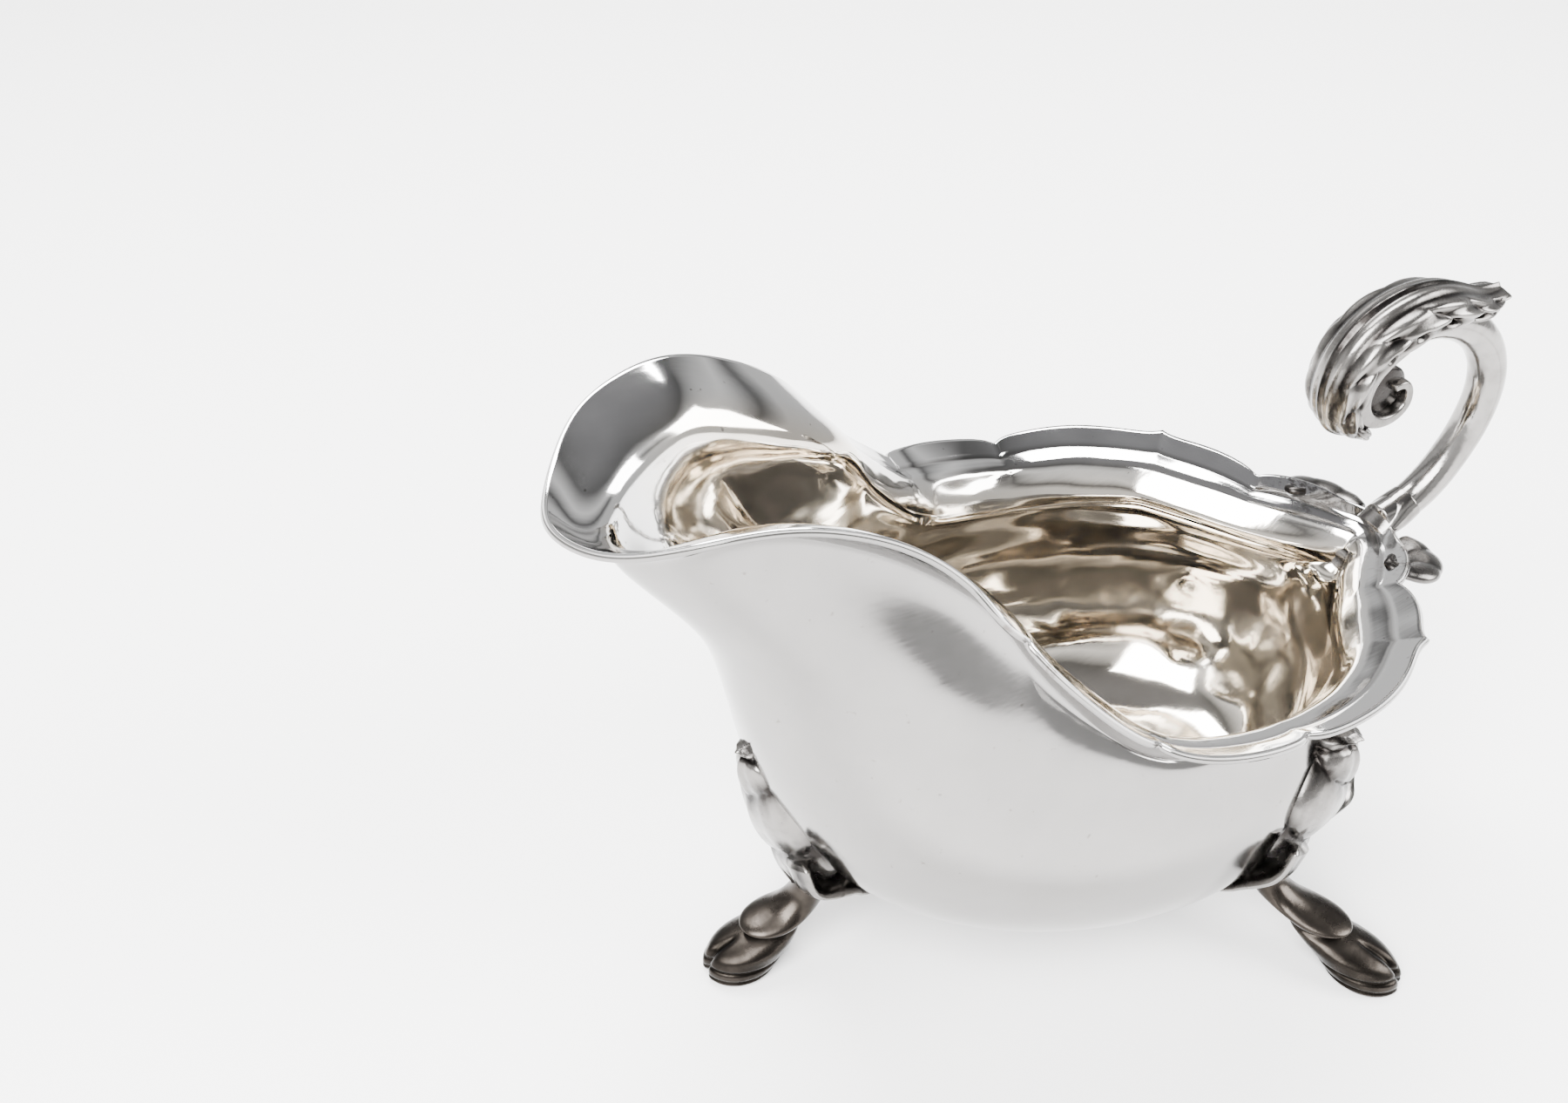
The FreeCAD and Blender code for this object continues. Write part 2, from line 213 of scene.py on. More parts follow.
def natural(points, steps, places):
    """Points of the natural cubic at places, counted in guide points."""
    bend = bends(points, steps)
    rows = []
    for place in places:
        i = min(int(place), len(points) - 2)
        t = place - i
        h = steps[i][:, None]
        p, q, f, g = points[i], points[i + 1], bend[i], bend[i + 1]
        s = 1 - t
        rows.append(s * p + t * q + h * h / 6 * ((s ** 3 - s) * f + (t ** 3 - t) * g))
    return np.array(rows)


def through(points, places):
    """Smooth curve through a list of points, at places counted in points."""
    p = np.array(points, float)[:, None, :]
    return natural(p, np.ones((len(points) - 1, 1)), places)[:, 0]


def evenly(points, count):
    """Smooth curve through a list of points, at count even places."""
    return through(points, np.linspace(0, len(points) - 1, count))


def soft_step(x, low, high):
    t = np.clip((x - low) / (high - low), 0, 1)
    return t * t * (3 - 2 * t)


def bell(x, centre, width):
    return np.exp(-((x - centre) / width) ** 2)


def circle(count):
    return np.linspace(0, 2 * np.pi, count, endpoint=False)


def down(count):
    """Share of the way along a tube, as a column."""
    return np.linspace(0, 1, count)[:, None]


def gap(angle, centre):
    """Angle from centre, between minus and plus half a turn."""
    return (angle - centre + np.pi) % (2 * np.pi) - np.pi


# ---- meshes -------------------------------------------------------------
def tube_faces(levels, around):
    """Quads between the rows of a closed tube."""
    faces = []
    for i in range(levels - 1):
        for j in range(around):
            k = (j + 1) % around
            faces.append((i * around + j, i * around + k, (i + 1) * around + k, (i + 1) * around + j))
    return faces


def add_piece(name, rows, slot, stands_for, marks):
    """Tube mesh closed at both ends, from rows of points round it; marks are values per point."""
    rows = np.asarray(rows, float)
    levels, around = rows.shape[:2]
    verts = (rows.reshape(-1, 3) * MM).tolist()
    faces = tube_faces(levels, around)
    values = {key: np.broadcast_to(mark, (levels, around)).reshape(-1).tolist()
              for key, mark in marks.items()}
    for row in (0, levels - 1):
        centre = len(verts)
        verts.append((rows[row].mean(axis=0) * MM).tolist())
        for value in values.values():
            value.append(value[row * around])
        for j in range(around):
            edge = (row * around + (j + 1) % around, row * around + j)
            faces.append((centre,) + (edge if row == 0 else edge[::-1]))
    mesh = bpy.data.meshes.new(name)
    mesh.from_pydata(verts, [], faces)
    for key, value in values.items():
        mesh.attributes.new(key, "FLOAT", "POINT").data.foreach_set("value", value)
    mesh.shade_smooth()
    piece = bpy.data.objects.new(name, mesh)
    bpy.context.collection.objects.link(piece)
    piece.data.materials.append(MATERIALS[slot])
    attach(piece, "root")
    if stands_for:
        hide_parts(*stands_for)


def tube_rows(path, sizes, side, count, around, power=2.0):
    """Rows of a tube along a path of 3-D points, with (across, up) half sizes, and their angles."""
    centre = evenly(path, count)
    size = evenly(sizes, count)
    tangent = np.gradient(centre, axis=0)
    tangent /= np.linalg.norm(tangent, axis=1, keepdims=True)
    up = np.cross(tangent, np.array(side, float))
    up /= np.linalg.norm(up, axis=1, keepdims=True)
    across = np.cross(up, tangent)
    angle = circle(around)
    c = np.sign(np.cos(angle)) * np.abs(np.cos(angle)) ** (2 / power)
    s = np.sign(np.sin(angle)) * np.abs(np.sin(angle)) ** (2 / power)
    rows = (centre[:, None] + across[:, None] * (c[None, :, None] * size[:, None, :1])
            + up[:, None] * (s[None, :, None] * size[:, None, 1:]))
    return rows, angle


def scaled(rows, share):
    """Rows of a tube with each point's distance from its row's middle scaled."""
    middle = rows.mean(axis=1, keepdims=True)
    return middle + (rows - middle) * share[..., None]


# ---- the bowl -----------------------------------------------------------
def rim_ring(places):
    """Plain cut edge at places from 0 at the lip, round by the near side, back to the lip."""
    ring = np.concatenate([RIM * (1, -1, 1), RIM[-2:0:-1]])
    wrapped = np.concatenate([ring[-RIM_WRAP:], ring, ring[:RIM_WRAP]])
    return through(wrapped, places + RIM_WRAP)


def inward(ring, distance, drop):
    """The ring moved in by distance, less at its two tips, and down by drop."""
    ahead = np.roll(ring, -1, axis=0) - np.roll(ring, 1, axis=0)
    normal = np.stack([-ahead[:, 1], ahead[:, 0], np.zeros(len(ring))], 1)
    normal /= np.linalg.norm(normal, axis=1, keepdims=True)
    pointed = soft_step(ring[:, 0], -20, 20)           # the handle end is narrower than the lip
    least = 0.75 - 0.19 * pointed                      # share of distance kept at a tip
    wide = 24 - 7 * pointed                            # half width where all of it is reached
    step = distance * (least + (1 - least) * soft_step(np.abs(ring[:, 1]) / wide, 0, 1))
    return ring + normal * step[:, None] - UP * drop


def rounded(ring, amount):
    """The ring with its handle end and its lip drawn into soft ovals."""
    window = ROUNDING_WINDOW
    weights = np.hanning(2 * window + 1)
    weights /= weights.sum()
    wrapped = np.concatenate([ring[-window:], ring, ring[:window]])
    soft = np.stack([np.convolve(wrapped[:, k], weights, "valid") for k in range(3)], 1)
    ends = np.maximum(soft_step(ring[:, 0], 36, 52), soft_step(-ring[:, 0], 62, 76))
    share = amount * ends[:, None]
    return ring * (1 - share) + soft * share


def egg_ring(egg, angle):
    """Egg-shaped ring: two half ovals that meet a little behind its middle."""
    x0, z0, x1, z1, half_width, z_side, _ = egg
    middle = 0.47 * x0 + 0.53 * x1
    c = np.cos(angle)
    reach = np.where(c > 0, middle - x0, x1 - middle)
    end_z = np.where(c > 0, z0, z1)
    return np.stack([middle - reach * c, -half_width * np.sin(angle),
                     z_side + (end_z - z_side) * c * c], 1)


def along_rim(places):
    """Place counted from the lip towards the handle, the same on both sides."""
    return np.where(places <= RING_TURN / 2, places, RING_TURN - places)


def shaped_edge(edge):
    """The cut edge with its nicks and the slight swell between them."""
    along = along_rim(PLACES)
    offset = np.zeros(AROUND)
    for place, depth, width in NOTCHES:
        offset += depth * np.exp(-np.abs(along - place) / width)
    bounds = [SHAPED_FROM] + [notch[0] for notch in NOTCHES] + [SHAPED_TO]
    for a, b in zip(bounds[:-1], bounds[1:]):
        t = np.clip((along - a) / (b - a), 0, 1)
        offset -= LOBE_SWELL * np.sin(np.pi * t) ** 1.5
    one_in = inward(edge, 1.0, 0.0) - edge
    return edge + one_in * offset[:, None] - UP * (EDGE_DIP * offset[:, None])


def bowl_sheet():
    """Outer skin rows from the bottom's centre to the cut edge, and the count of ring gaps."""
    edge = rim_ring(PLACES)
    cut = shaped_edge(edge)
    neck = rounded(inward(edge, *FLARE[0]), 1.0)
    guides = []
    for egg in EGGS:
        ring = egg_ring(egg, 2 * np.pi * PLACES / RING_TURN)
        guides.append(ring * (1 - egg[-1]) + neck * egg[-1])
    middle = guides[0].mean(axis=0) * (1, 0, 1)
    for share, drop in BOTTOM_RINGS:
        guides.insert(0, middle + (guides[0] - middle) * share - UP * drop)
    guides.append(neck)
    guides.append(rounded(inward(edge, *FLARE[1]), 0.85))
    guides.append(inward(edge, *FLARE[2]) + (cut - edge) * 0.35)
    guides.append(cut)
    guides = np.array(guides)
    gaps = np.sqrt(np.linalg.norm(np.diff(guides, axis=0), axis=2)) + LEAST_GAP
    last = len(guides) - 1
    return natural(guides, gaps, np.linspace(0, last, PER_RING * last + 1)), last


def skin_normals(rows):
    du = np.roll(rows, -1, axis=1) - np.roll(rows, 1, axis=1)
    dv = np.gradient(rows, axis=0)
    n = np.cross(dv, du)
    n /= np.linalg.norm(n, axis=2, keepdims=True) + 1e-9
    n[0] = n[1]
    return n


def flange_band(level, last, band):
    """Height of a band that runs round the flange and fades out towards the spout."""
    height, below, width = band
    round_bowl = soft_step(along_rim(PLACES), *BAND_STARTS)[None]
    return height * bell(level, last - below, width)[:, None] * round_bowl


def build_bowl():
    """One sheet: outer skin, cut edge and inner skin.  Returns the outer skin's rows."""
    outer, last = bowl_sheet()
    normal = skin_normals(outer)
    middle = outer.mean(axis=(0, 1))
    if ((outer[BELLY_ROW] - middle) * normal[BELLY_ROW]).sum() > 0:
        normal = -normal
    level = np.linspace(0, last, len(outer))
    roll = flange_band(level, last, ROLL)
    groove = flange_band(level, last, GROOVE)
    inner = outer + normal * (WALL + roll - groove)[..., None]
    lip = (outer[-1] + inner[-1]) / 2 - (inner[-2] - inner[-1]) * 0.45
    rows = np.concatenate([outer, lip[None], inner[::-1]])
    inside = np.concatenate([np.zeros(len(outer)), [0.5], np.ones(len(inner))])
    height = np.concatenate([level, [last], level[::-1]]) / last
    # Painted shade: the flange's groove is marked for darkening.
    recess = np.concatenate([np.zeros((len(outer) + 1, AROUND)), (groove / GROOVE[0])[::-1]])
    add_piece("bowl_and_spout", rows, "polished_silver", ["body"],
              {"inside": inside[:, None], "level": height[:, None], "recess": recess})
    return outer


def skin_tree(outer):
    """Search tree of the outer skin, from every second row and every fourth point."""
    coarse = outer[::2, ::4]
    faces = [(a, d, c, b) for a, b, c, d in tube_faces(*coarse.shape[:2])]
    return BVHTree.FromPolygons(coarse.reshape(-1, 3).tolist(), faces)


def nearest_skin(tree, point):
    """Nearest spot of the outer skin, and its normal away from the bowl's core."""
    spot, normal, _, _ = tree.find_nearest(point)
    if normal.dot(spot - BOWL_CORE) < 0:
        normal = -normal
    return spot, normal


def bed(rows, tree):
    """Points that sink deeper than BED_DEPTH into the bowl's sheet stay at that depth."""
    out = rows.copy()
    flat = out.reshape(-1, 3)
    for i, p in enumerate(flat):
        point = Vector(p)
        spot, normal = nearest_skin(tree, point)
        if (point - spot).dot(normal) < -BED_DEPTH:
            flat[i] = spot - normal * BED_DEPTH
    return out


def cling(rows, tree, share):
    """Rows of a tube drawn down onto the bowl's outside, share of the way per row."""
    out = rows.copy()
    for i in range(len(rows)):
        centre = Vector(rows[i].mean(axis=0))
        spot, normal = nearest_skin(tree, centre)
        out[i] += np.array(spot + normal * CLING_HEIGHT - centre) * share[i]
    return out


# ---- feet ---------------------------------------------------------------
class Foot:
    """Local frame of a foot: out from the bowl, across and up."""

    def __init__(self, name, hoof, outward, knee, wings):
        self.name = name
        self.hoof = np.array((hoof[0], hoof[1], 0.0))
        self.out = np.array((outward[0], outward[1], 0.0))
        self.out /= np.linalg.norm(self.out)
        self.across = np.array((-self.out[1], self.out[0], 0.0))
        self.knee = knee
        self.wings = wings

    def at(self, out, across, up):
        out, across, up = np.broadcast_arrays(out, across, up)
        return (self.hoof + out[..., None] * self.out + across[..., None] * self.across
                + up[..., None] * UP)


def columns(table, count):
    """The columns of a table, drawn smoothly through its rows at count even places."""
    rows = evenly(table, count)
    return [rows[:, k:k + 1] for k in range(rows.shape[1])]


def build_leg(foot):
    """Cabriole leg: fetlock with a sharp undercut, and a cloven hoof with two bands."""
    reach = -foot.knee[0][0]
    centre, up, half_out, half_across = columns([(-share * reach, z, a, b) for share, z, a, b in LEG], 90)
    up = np.clip(up, 0, None)
    angle = circle(72)[None]
    toe = 0.5 + 0.5 * np.cos(angle)
    swell = FETLOCK[0] * toe * bell(up, *FETLOCK[1:])
    undercut = UNDERCUT[0] * toe ** 0.5 * bell(up, *UNDERCUT[1:])
    hoof = soft_step(8.0 - up, 0.2, 1.6)
    cleft = CLEFT[0] * hoof * bell(gap(angle, 0.0), 0.0, CLEFT[1])
    heel = HEEL[0] * hoof * bell(gap(angle, np.pi), 0.0, HEEL[1])
    band = sum(depth * bell(up, height, width) for depth, height, width in HOOF_BANDS)
    bulge = HOOF_BULGE[0] * toe * bell(up, *HOOF_BULGE[1:])
    push = swell + bulge - undercut - cleft - heel - band * hoof
    push = push - SOLE_BEVEL * (1 - soft_step(up, 0.0, 0.9)) - LEG_INSET
    points = foot.at(centre + (half_out + push) * np.cos(angle),
                     (half_across + push) * np.sin(angle), up)
    # Painted shade: the undercut, cleft, heel and hoof bands are darkened, and the side towards the bowl
    # is darker than the toe. The hoof is also darker all over.
    dark = np.clip(undercut / UNDERCUT[0] + cleft / CLEFT[0] + heel / HEEL[0]
                   + band * hoof / HOOF_BANDS[0][0] + 0.55 * hoof + 0.4 * (1 - toe), 0, 1)
    add_piece("hoofed_leg_" + foot.name, points, "cast_silver_dark", ["leg_" + foot.name],
              {"recess": dark})


def build_knee(foot, tree):
    """Acanthus leaf on the knee: slanting lobes each side of a vein, and a rolled tip."""
    count = 130
    centre, up, half_out, half_across = columns(foot.knee, count)
    along = down(count)
    angle = circle(96)[None]
    turn = gap(angle, 0.0)
    side = np.abs(turn) / (np.pi / 2)
    lobe = 3.6 * along - 0.75 * side + 0.08
    wave = np.abs(np.sin(np.pi * lobe))
    edge = 1 + 0.16 * soft_step(side, 0.4, 1.0) * wave ** 0.7 * np.sin(np.pi * along) ** 0.5
    ridge = 1.25 * (wave ** 0.55 - 0.75) * np.sin(np.pi * np.clip(along * 1.08, 0, 1)) ** 0.4
    fine = 0.05 * np.cos(turn * 16 + along * 9)
    vein = 0.45 * bell(turn, 0.0, 0.10)
    tip_neck = bell(along, 0.83, 0.03)
    knob = 1.3 * bell(along, 0.93, 0.05) - 0.6 * tip_neck
    push = ridge + fine + vein + knob
    points = foot.at(centre + (half_out + push) * np.cos(angle),
                     (half_across * edge + 0.3 * push) * np.sin(angle), up)
    # Painted shade: darker in the troughs between the lobes, in the fine grooves, at the tip's neck, and
    # on the flanks and back.
    dark = np.clip(1.15 - 1.25 * wave ** 0.8 + 0.12 * (fine < -0.02)
                   + 0.9 * tip_neck + 0.5 * soft_step(side, 0.75, 1.1), 0, 1)
    add_piece("acanthus_knee_" + foot.name, bed(points, tree), "chased_silver",
              ["knee_leaf_" + foot.name], {"recess": dark})


def build_wings(foot, tree):
    """Side scrolls of the knee leaf, lying along the bowl to a free point."""
    count = 60
    along = down(count)
    out, across, up = np.array(WING_PATH).T
    for hand, side, shift in foot.wings:
        root = foot.knee[2][0] + shift
        path = foot.at(root + out, side * across, up)
        rows, angle = tube_rows(path, WING_SIZES, foot.across, count, 40)
        rows = cling(rows, tree, soft_step(along[:, 0], 0.15, 0.65))
        flutes = np.cos(4 * angle)[None]
        rows = scaled(rows, 1 + 0.10 * flutes * (1 - along))
        # Painted shade between the flutes; the scroll is also a little darker towards its free end.
        dark = np.clip(0.45 - 0.45 * flutes + 0.1 * along, 0, 1)
        add_piece("side_scroll_%s_%s" % (hand, foot.name), bed(rows, tree), "chased_silver",
                  ["knee_wing_%s_%s" % (hand, foot.name)], {"recess": dark})


def build_feet(tree):
    feet = [Foot("front", FRONT_HOOF, (-1.0, 0.0), FRONT_KNEE, [("a", 1, 0.0), ("b", -1, 0.0)])]
    x, y = REAR_HOOF
    for hand, side in (("left", 1), ("right", -1)):
        wings = [("a", side, 0.0), ("b", -side, REAR_WING_SHIFT)]
        feet.append(Foot("rear_" + hand, (x, side * y), (x - REAR_LEGS_MEET, side * y), REAR_KNEE, wings))
    for foot in feet:
        build_leg(foot)
        build_knee(foot, tree)
        build_wings(foot, tree)


# ---- handle -------------------------------------------------------------
def plane_tube(path, sizes, count, around, power=2.0):
    """Rows of a tube along a path of x and z in the boat's middle plane."""
    return tube_rows([(x, 0.0, z) for x, z in path], sizes, (0, 1, 0), count, around, power)


def build_bar():
    """Cast bar with a fine seam down each side."""
    rows, angle = plane_tube(BAR_PATH, BAR_SIZES, 160, 64)
    seam = bell(gap(angle, 0.0), 0.0, 0.05) + bell(gap(angle, np.pi), 0.0, 0.05)
    # Painted shade along the seam's fine groove.
    add_piece("scroll_bar", scaled(rows, (1 - 0.012 * seam)[None]), "handle_silver", ["handle_bar"],
              {"recess": 0.35 * seam})


def build_volute():
    """Curled end of the bar, and the disc in its middle."""
    rows, _ = plane_tube(CURL_PATH, CURL_SIZES, 150, 64, power=5.0)
    # The curl is painted a little darker all over.
    add_piece("volute_scroll", rows, "chased_silver", ["handle_volute"], {"recess": 0.25})
    turn = circle(64)
    disc = [WEB_CENTRE + np.stack([radius * np.cos(turn), np.full(len(turn), y), radius * np.sin(turn)], 1)
            for y, radius in WEB_PROFILE]
    # The disc is painted fully dark: painted shade filling the curl's middle.
    add_piece("volute_web", disc, "chased_silver", [], {"recess": 1.0})


def build_handle_leaf():
    """Acanthus cap: long ribs from the front scroll to the flared tip, and dented eyes along its edge
    painted dark with painted shade to read as piercings.
    """
    count, around = 220, 144
    rows, angle = plane_tube(LEAF_PATH, LEAF_SIZES, count, around)
    along = down(count)
    turn = angle[None]
    middle = rows.mean(axis=1, keepdims=True)
    top = np.sign((rows[count // 2, around // 4] - middle[count // 2, 0])[2])
    outer = top * np.sin(turn)
    lobes = 7.0 * along + 0.9 * (1 - np.abs(outer))
    wave = np.abs(np.sin(np.pi * lobes))
    flank = soft_step(np.abs(np.cos(turn)), 0.55, 0.95)
    rib = 0.24 * np.cos(11 * turn + 2.2 * np.sin(np.pi * along)) * np.sin(np.pi * along) ** 0.3
    scallop = 0.9 * (wave ** 0.6 - 0.6) * flank * (outer < 0.75)
    crest = 0.7 * bell(gap(turn, top * np.pi / 2), 0.0, 0.10)
    curl = -1.6 * bell(along, 0.0, 0.045) * (outer < 0)
    eyes = np.zeros((count, around))
    for place in LEAF_EYES:
        for centre in (-top * 0.12, np.pi + top * 0.12):
            away = ((along - place) / EYE_LONG) ** 2 + (gap(turn, centre) / EYE_WIDE) ** 2
            eyes = np.maximum(eyes, np.exp(-away))
    push = rib + scallop + crest + curl - EYE_DEPTH * eyes
    spoke = rows - middle
    spoke /= np.linalg.norm(spoke, axis=2, keepdims=True)
    # Painted shade: darker between the ribs, in the scallops' troughs on the flanks, and in the eyes.
    dark = np.clip(0.40 - 2.0 * rib + 0.8 * (0.55 - wave) * flank + 1.4 * eyes, 0, 1)
    add_piece("acanthus_cap", rows + spoke * push[..., None], "chased_silver", ["handle_leaf"],
              {"recess": dark})


def build_collar():
    """Collar where the bar stands on the rim."""
    rows, angle = plane_tube(COLLAR_PATH, COLLAR_SIZES, 50, 56)
    # Painted shade: six dark stripes round the collar stand for the shade of flutes it does not have.
    add_piece("root_collar", rows, "handle_silver", ["handle_socket"],
              {"recess": 0.3 + 0.3 * np.cos(6 * angle)})


def build_shells():
    """Curled, fluted shell each side of the handle's root."""
    count = 90
    along = down(count)
    flute = 0.35 * np.abs(np.sin(5 * np.pi * along)) * (1 - along)
    for hand, side in (("left", 1), ("right", -1)):
        path = [(x, side * y, z) for x, y, z in EAR_PATH]
        rows, _ = tube_rows(path, EAR_SIZES, (0, 0, 1), count, 48)
        # Painted shade: darker between the flutes and towards the curled end.
        add_piece("curled_shell_" + hand, scaled(rows, 1 + flute * 0.5), "chased_silver",
                  ["root_ear_" + hand], {"recess": np.clip(0.8 - 2.2 * flute, 0, 1)})


def build_drop(tree):
    """Beaded scroll under the handle's root, on the outside of the bowl."""
    count = 110
    rows, _ = plane_tube(DROP_PATH, DROP_SIZES, count, 48)
    beads = 0.16 * np.abs(np.sin(6 * np.pi * down(count) ** 0.9))
    # Painted shade between the beads.
    add_piece("scroll_drop", bed(scaled(rows, 0.9 + beads), tree), "chased_silver", ["root_drop"],
              {"recess": np.clip(0.9 - 7 * beads, 0, 1)})


# ---- materials ----------------------------------------------------------
def set_span(node, numbers):
    for key, number in zip(("From Min", "From Max", "To Min", "To Max"), numbers):
        node.inputs[key].default_value = number


class Nodes:
    """Short hand for building one metal's node tree; places and scales are in metres."""

    def __init__(self, name):
        self.material = bpy.data.materials.new(name)
        self.material.use_nodes = True
        self.tree = self.material.node_tree
        self.shader = self.tree.nodes["Principled BSDF"]
        self.shader.inputs["Metallic"].default_value = 1.0
        self.place = self.tree.nodes.new("ShaderNodeTexCoord").outputs["Object"]

    def link(self, a, b):
        self.tree.links.new(a, b)

    def mark(self, name):
        node = self.tree.nodes.new("ShaderNodeAttribute")
        node.attribute_name = name
        return node.outputs["Fac"]

    def noise(self, scale, detail, stretch=(1, 1, 1), roughness=0.55):
        mapping = self.tree.nodes.new("ShaderNodeMapping")
        mapping.inputs["Scale"].default_value = stretch
        self.link(self.place, mapping.inputs["Vector"])
        node = self.tree.nodes.new("ShaderNodeTexNoise")
        node.inputs["Scale"].default_value = scale
        node.inputs["Detail"].default_value = detail
        node.inputs["Roughness"].default_value = roughness
        self.link(mapping.outputs["Vector"], node.inputs["Vector"])
        return node.outputs["Fac"]

    def span(self, value, *numbers):
        """The value moved from the range of the first two numbers to that of the last two."""
        node = self.tree.nodes.new("ShaderNodeMapRange")
        set_span(node, numbers)
        self.link(value, node.inputs["Value"])
        return node.outputs["Result"]

    def math(self, kind, a, b):
        node = self.tree.nodes.new("ShaderNodeMath")
        node.operation = kind
        for socket, value in zip(node.inputs, (a, b)):
            if isinstance(value, (int, float)):
                socket.default_value = value
            else:
                self.link(value, socket)
        return node.outputs["Value"]

    def mix(self, share, a, b):
        node = self.tree.nodes.new("ShaderNodeMix")
        node.data_type = "RGBA"
        self.link(share, node.inputs["Factor"])
        for socket, value in ((node.inputs[MIX_A], a), (node.inputs[MIX_B], b)):
            if isinstance(value, tuple):
                socket.default_value = value + (1.0,)
            else:
                self.link(value, socket)
        return node.outputs[MIX_RESULT]

    def bump(self, height, strength, distance, below=None):
        node = self.tree.nodes.new("ShaderNodeBump")
        node.inputs["Strength"].default_value = strength
        node.inputs["Distance"].default_value = distance
        self.link(height, node.inputs["Height"])
        if below is not None:
            self.link(below, node.inputs["Normal"])
        return node.outputs["Normal"]

    def near(self, place, reach):
        """One at a place on the boat, falling to nothing at reach metres from it."""
        node = self.tree.nodes.new("ShaderNodeVectorMath")
        node.operation = "DISTANCE"
        self.link(self.place, node.inputs[0])
        node.inputs[1].default_value = place
        return self.span(node.outputs["Value"], reach, reach * 0.3, 0.0, 1.0)

    def axis(self, name):
        node = self.tree.nodes.new("ShaderNodeSeparateXYZ")
        self.link(self.place, node.inputs["Vector"])
        return node.outputs[name]


def bowl_tarnish(n, inside, clouds):
    """Share of tarnish: inside the bowl, below the flange and behind a ragged line in the spout."""
    deep = n.span(n.mark("level"), 0.90, 0.80, 0.0, 1.0)
    line = n.math("ADD", n.axis("X"), n.math("MULTIPLY", n.axis("Y"), 0.20))
    ragged = n.math("ADD", line, n.math("MULTIPLY", clouds, 0.012))
    behind = n.span(ragged, -0.062, -0.050, 0.0, 1.0)
    return n.math("MULTIPLY", n.math("MULTIPLY", inside, deep), behind)


def bowl_colour(n, inside):
    clouds = n.noise(38.0, 5.0)
    film = n.span(n.noise(14.0, 6.0, roughness=0.65), 0.35, 0.68, 0.0, 1.0)
    # Painted shade: the outside takes the darker outside colours, and the inside takes the brighter one.
    clean = n.mix(inside, n.mix(film, CLEAN_OUTSIDE_IN_SHADE, FILMED_OUTSIDE_IN_SHADE), BRIGHT_INSIDE)
    patches = n.span(clouds, 0.35, 0.65, 0.0, 1.0)
    tarnished = n.mix(patches, BROWN_TARNISH, STRAW_TARNISH)
    colour = n.mix(bowl_tarnish(n, inside, clouds), clean, tarnished)
    specks = n.span(n.noise(520.0, 2.0, roughness=0.7), 0.70, 0.76, 0.0, 0.55)
    colour = n.mix(specks, colour, SPECK_COLOUR)
    spots = n.span(n.noise(300.0, 6.0, roughness=0.75), 0.52, 0.60, 0.0, 0.8)
    for place, reach in SPOT_PATCHES:
        colour = n.mix(n.math("MULTIPLY", spots, n.near(place, reach)), colour, SPOT_COLOUR)
    # Painted shade in the flange's groove.
    return n.mix(n.math("MULTIPLY", n.mark("recess"), 0.75), colour, GROOVE_SHADE_COLOUR)


def polished_silver():
    """The raised bowl: bright outside, straw and brown tarnish inside."""
    n = Nodes("polished_silver")
    inside = n.span(n.mark("inside"), 0.6, 0.9, 0.0, 1.0)
    n.link(bowl_colour(n, inside), n.shader.inputs["Base Color"])
    haze = n.span(n.noise(90.0, 3.0), 0.3, 0.7, 0.07, 0.15)
    rough = n.math("SUBTRACT", haze, n.math("MULTIPLY", inside, 0.03))
    n.link(rough, n.shader.inputs["Roughness"])
    dents = n.math("MULTIPLY", n.noise(30.0, 2.0), n.math("ADD", 0.15, inside))
    waves = n.bump(dents, 0.5, 0.003)
    scratches = n.bump(n.noise(900.0, 2.0, (0.08, 1.0, 0.5)), 0.05, 0.0002, waves)
    n.link(scratches, n.shader.inputs["Normal"])
    return n.material


def cast_silver(name, bright, dark, share, roughness):
    """Cast and chased silver, darkened in its recesses with painted shade."""
    n = Nodes(name)
    mottle = n.noise(260.0, 5.0)
    recess = n.math("MULTIPLY", n.mark("recess"), share)
    # Painted shade in the recesses, added to a random mottle of the metal.
    grime_and_shade = n.math("ADD", recess, n.span(mottle, 0.35, 0.75, -0.15, 0.35))
    colour = n.mix(n.span(grime_and_shade, 0.0, 1.0, 0.0, 1.0), bright, dark)
    n.link(colour, n.shader.inputs["Base Color"])
    n.link(n.span(mottle, 0.3, 0.7, roughness, roughness + 0.14), n.shader.inputs["Roughness"])
    pits = n.bump(n.noise(420.0, 4.0), 0.16, 0.0004)
    n.link(pits, n.shader.inputs["Normal"])
    return n.material


MATERIALS = {"polished_silver": polished_silver()}
for metal, look in CAST_SILVERS.items():
    MATERIALS[metal] = cast_silver(metal, *look)


# ---- stage --------------------------------------------------------------
def build_floor():
    mesh = bpy.data.meshes.new("floor")
    corners = [(x * FLOOR_HALF, y * FLOOR_HALF, 0) for x, y in ((-1, -1), (1, -1), (1, 1), (-1, 1))]
    mesh.from_pydata(corners, [], [(0, 1, 2, 3)])
    floor = bpy.data.objects.new("floor", mesh)
    bpy.context.collection.objects.link(floor)
    paper = bpy.data.materials.new("paper")
    paper.use_nodes = True
    shader = paper.node_tree.nodes["Principled BSDF"]
    shader.inputs["Base Color"].default_value = PAPER_COLOUR
    shader.inputs["Roughness"].default_value = PAPER_ROUGHNESS
    floor.data.materials.append(paper)


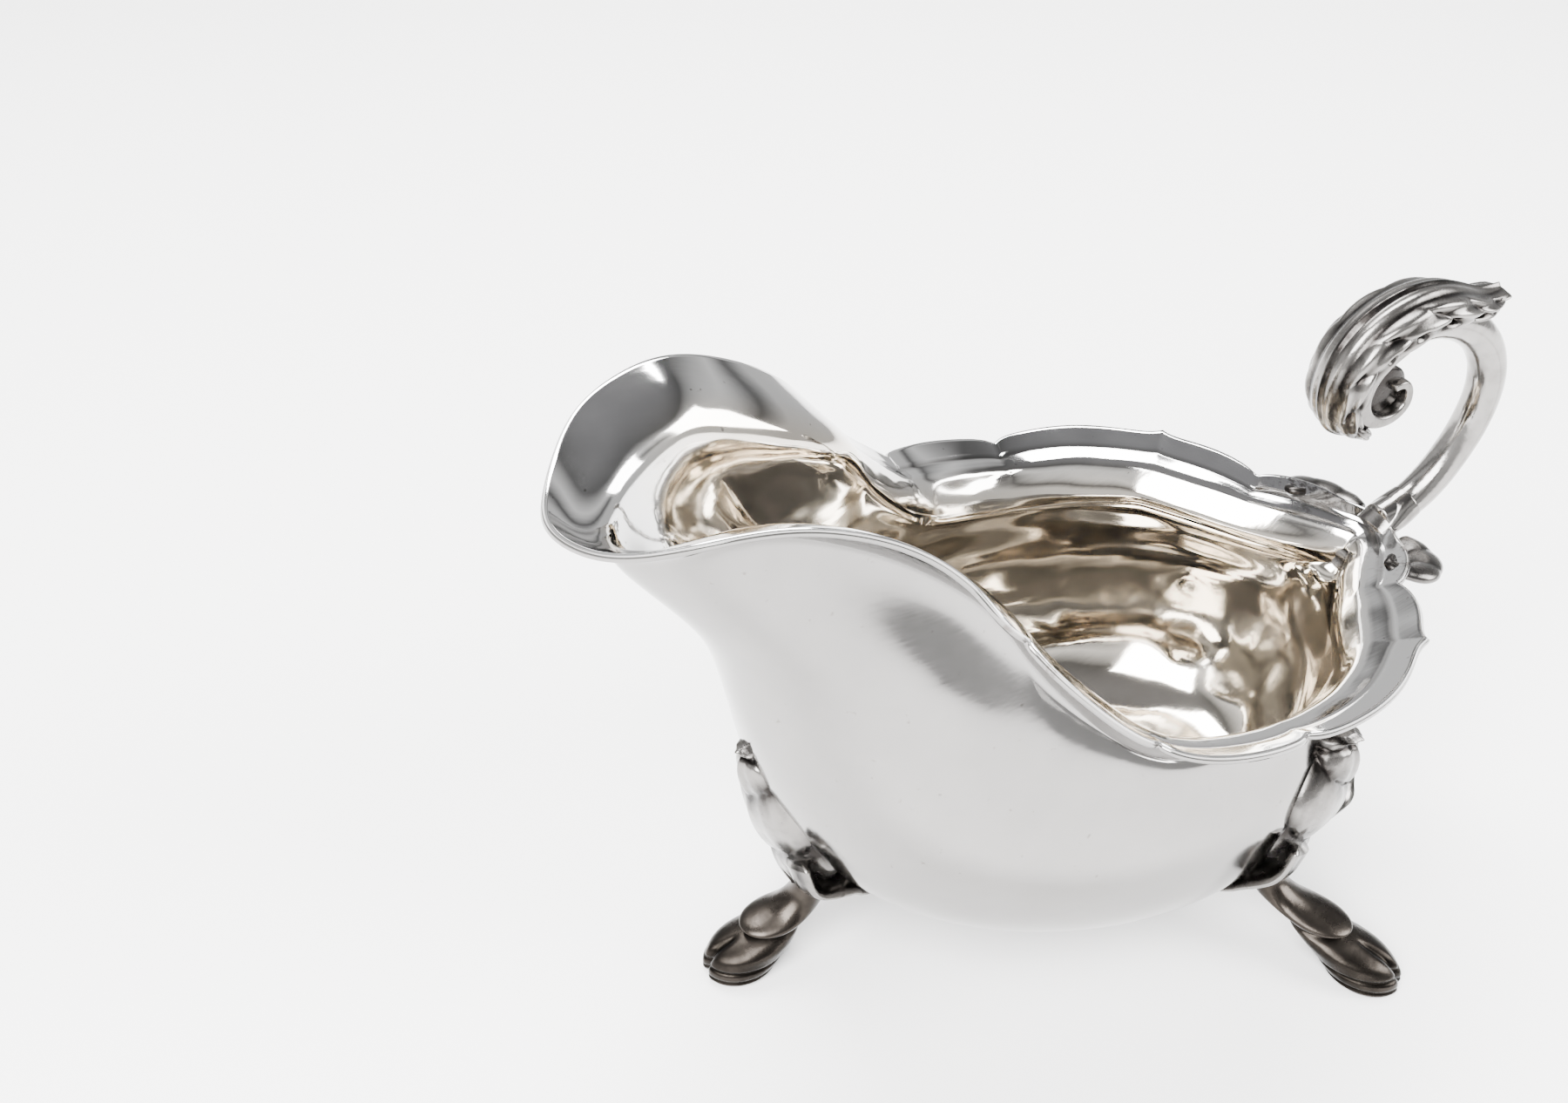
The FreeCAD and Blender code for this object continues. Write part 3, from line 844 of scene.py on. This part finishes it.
def build_surround():
    """Soft studio light from all round: bands by height, fading across."""
    world = bpy.data.worlds.new("studio")
    bpy.context.scene.world = world
    world.use_nodes = True
    tree = world.node_tree
    place = tree.nodes.new("ShaderNodeTexCoord")
    split = tree.nodes.new("ShaderNodeSeparateXYZ")
    ramp = tree.nodes.new("ShaderNodeValToRGB")
    stops = ramp.color_ramp.elements
    stops[0].position, stops[0].color = 0.0, SKY_HORIZON
    stops[1].position, stops[1].color = 1.0, SKY_TOP
    for position, shade in SKY_BANDS:
        stops.new(position).color = (shade, shade, shade, 1)
    across = tree.nodes.new("ShaderNodeMapRange")
    set_span(across, SKY_ACROSS)
    fade = tree.nodes.new("ShaderNodeMix")
    fade.data_type = "RGBA"
    fade.blend_type = "MULTIPLY"
    fade.inputs["Factor"].default_value = 1.0
    background = tree.nodes["Background"]
    background.inputs["Strength"].default_value = SKY_STRENGTH
    for a, b in ((place.outputs["Generated"], split.inputs["Vector"]),
                 (split.outputs["Z"], ramp.inputs["Fac"]),
                 (split.outputs["X"], across.inputs["Value"]),
                 (ramp.outputs["Color"], fade.inputs[MIX_A]),
                 (across.outputs["Result"], fade.inputs[MIX_B]),
                 (fade.outputs[MIX_RESULT], background.inputs["Color"])):
        tree.links.new(a, b)


def add_light(name, place, size, power):
    """Rectangular soft box that faces the boat."""
    light = bpy.data.lights.new(name, "AREA")
    light.shape = "RECTANGLE"
    light.size, light.size_y = size
    light.energy = power
    lamp = bpy.data.objects.new(name, light)
    lamp.location = place
    lamp.rotation_euler = (Vector(LIGHT_AIM) - Vector(place)).to_track_quat("-Z", "Y").to_euler()
    bpy.context.collection.objects.link(lamp)


def add_camera():
    """Eye above the near side, turned towards the handle and tipped down on the boat."""
    data = bpy.data.cameras.new("camera")
    data.lens = LENS
    data.sensor_width = SENSOR
    data.shift_x = SHIFT_X
    data.shift_y = SHIFT_Y
    camera = bpy.data.objects.new("camera", data)
    camera.location = CAMERA_PLACE
    camera.rotation_euler = (math.radians(90 - CAMERA_DOWN), 0.0, math.radians(-CAMERA_TURN))
    bpy.context.collection.objects.link(camera)
    bpy.context.scene.camera = camera


def main():
    tree = skin_tree(build_bowl())
    build_feet(tree)
    build_bar()
    build_volute()
    build_handle_leaf()
    build_collar()
    build_shells()
    build_drop(tree)
    build_floor()
    build_surround()
    for light in LIGHTS:
        add_light(*light)
    add_camera()


main()
